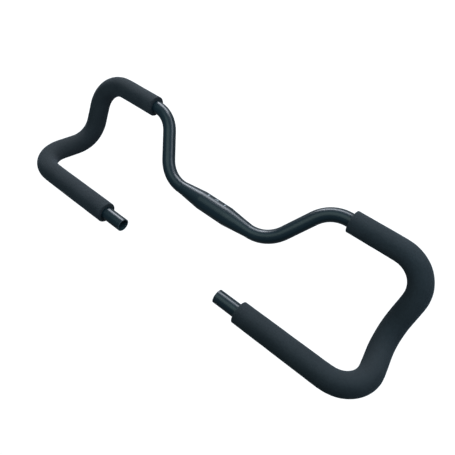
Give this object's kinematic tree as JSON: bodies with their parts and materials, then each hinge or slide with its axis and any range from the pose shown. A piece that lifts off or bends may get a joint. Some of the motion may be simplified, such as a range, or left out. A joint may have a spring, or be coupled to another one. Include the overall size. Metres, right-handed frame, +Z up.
{
  "type": "butterfly handlebar",
  "caption": "Butterfly touring handlebar: one bent tube with an oversize stem clamp, a loop on each side and foam grips over the loops.",
  "frame": {"origin": "centre of the stem clamp, on the axis of the swollen middle of the tube", "axes": "+X along the clamp's axis towards the rider's right, +Y ahead in the direction of travel, +Z up"},
  "size_m": [0.703, 0.2364, 0.0879],
  "materials": {
    "tube": "satin black anodised aluminium tube",
    "foam": "matte closed cell foam"
  },
  "bodies": {
    "root": {"handlebar_tube": "tube", "left_foam_grip": "foam", "right_foam_grip": "foam"}
  },
  "joints": []
}
